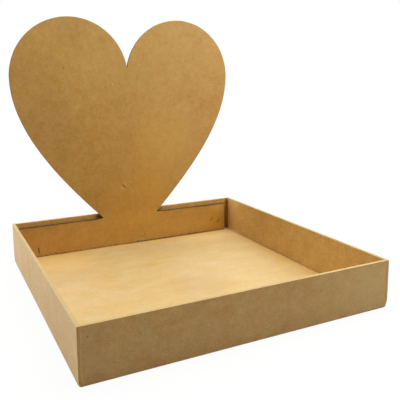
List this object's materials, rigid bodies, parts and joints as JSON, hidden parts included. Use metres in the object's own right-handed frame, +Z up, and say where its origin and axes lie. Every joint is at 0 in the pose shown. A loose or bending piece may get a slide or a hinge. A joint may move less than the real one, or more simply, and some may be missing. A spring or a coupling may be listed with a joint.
{
  "type": "open craft tray with heart-shaped back board",
  "caption": "Square open-topped fibreboard tray with a tall heart-shaped back board stapled inside its rear wall, unfinished.",
  "frame": {"origin": "centre of the tray's footprint, on the plane that it stands on", "axes": "+X to the right seen from the front, -Y to the front (the low open side), +Y to the heart board, +Z up"},
  "size_m": [0.3, 0.3, 0.2926],
  "materials": {
    "mdf_wall": "raw fibreboard, smooth pressed faces with lighter fuzzy cut edges",
    "mdf_floor": "raw fibreboard, pale pressed face",
    "mdf_heart": "raw fibreboard, smooth pressed face with dark brown, burnt cut edges",
    "staple_steel": "bright galvanised flattened wire, dulled"
  },
  "bodies": {
    "root": {"front_wall": "mdf_wall", "rear_wall": "mdf_wall", "left_wall": "mdf_wall", "right_wall": "mdf_wall", "floor_panel": "mdf_floor", "heart_board": "mdf_heart", "staple_left": "staple_steel", "staple_centre": "staple_steel", "staple_inner_right": "staple_steel", "staple_outer_right": "staple_steel"}
  },
  "joints": []
}
